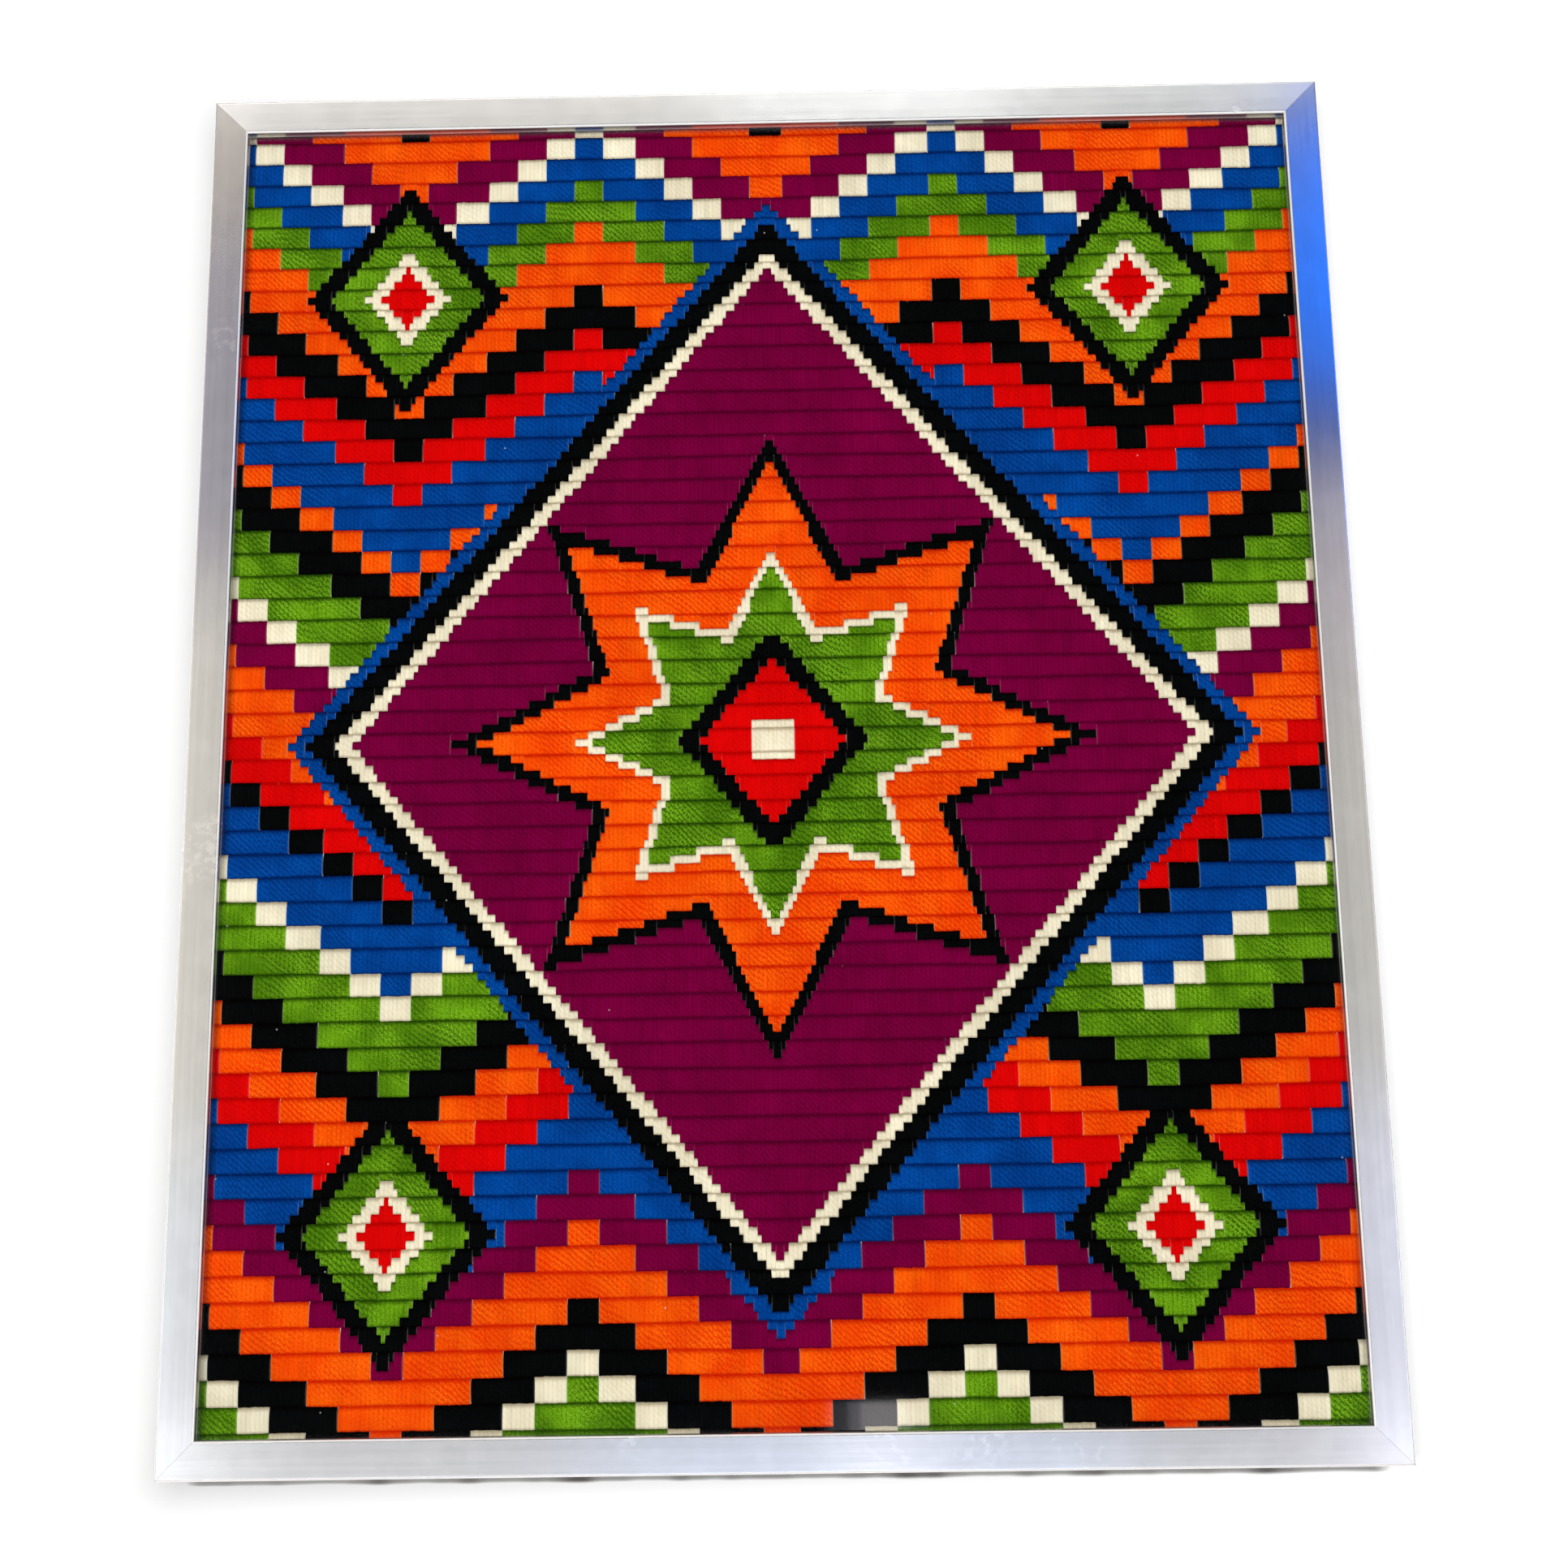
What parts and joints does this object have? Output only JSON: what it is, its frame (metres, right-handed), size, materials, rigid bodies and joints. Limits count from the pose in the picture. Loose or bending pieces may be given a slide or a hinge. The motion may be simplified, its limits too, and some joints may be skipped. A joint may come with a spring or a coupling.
{
  "type": "framed long-stitch tapestry in a metal section frame",
  "caption": "Flat glazed textile picture: wool long-stitch embroidery on canvas in a slim mitred satin metal frame, lying face up.",
  "frame": {"origin": "middle of the frame's back, on the surface that the picture lies on", "axes": "+X to the picture's right, +Y to its top, +Z out of its front"},
  "size_m": [0.514, 0.616, 0.0241],
  "materials": {
    "wool_stitches": "matt wool yarn in upright long stitches on white cotton canvas, in seven colours",
    "glazing": "clear polished sheet glass",
    "fibreboard": "plain brown fibreboard",
    "satin_metal": "satin anodised, fine lines along each rail, bright edges",
    "plated_steel": "plain plated sheet"
  },
  "bodies": {
    "root": {"needlework": "wool_stitches", "glass": "glazing", "backing_board": "fibreboard", "rail_top": "satin_metal", "rail_bottom": "satin_metal", "rail_left": "satin_metal", "rail_right": "satin_metal", "corner_angle_top_left": "plated_steel", "corner_angle_top_right": "plated_steel", "corner_angle_bottom_left": "plated_steel", "corner_angle_bottom_right": "plated_steel"}
  },
  "joints": []
}
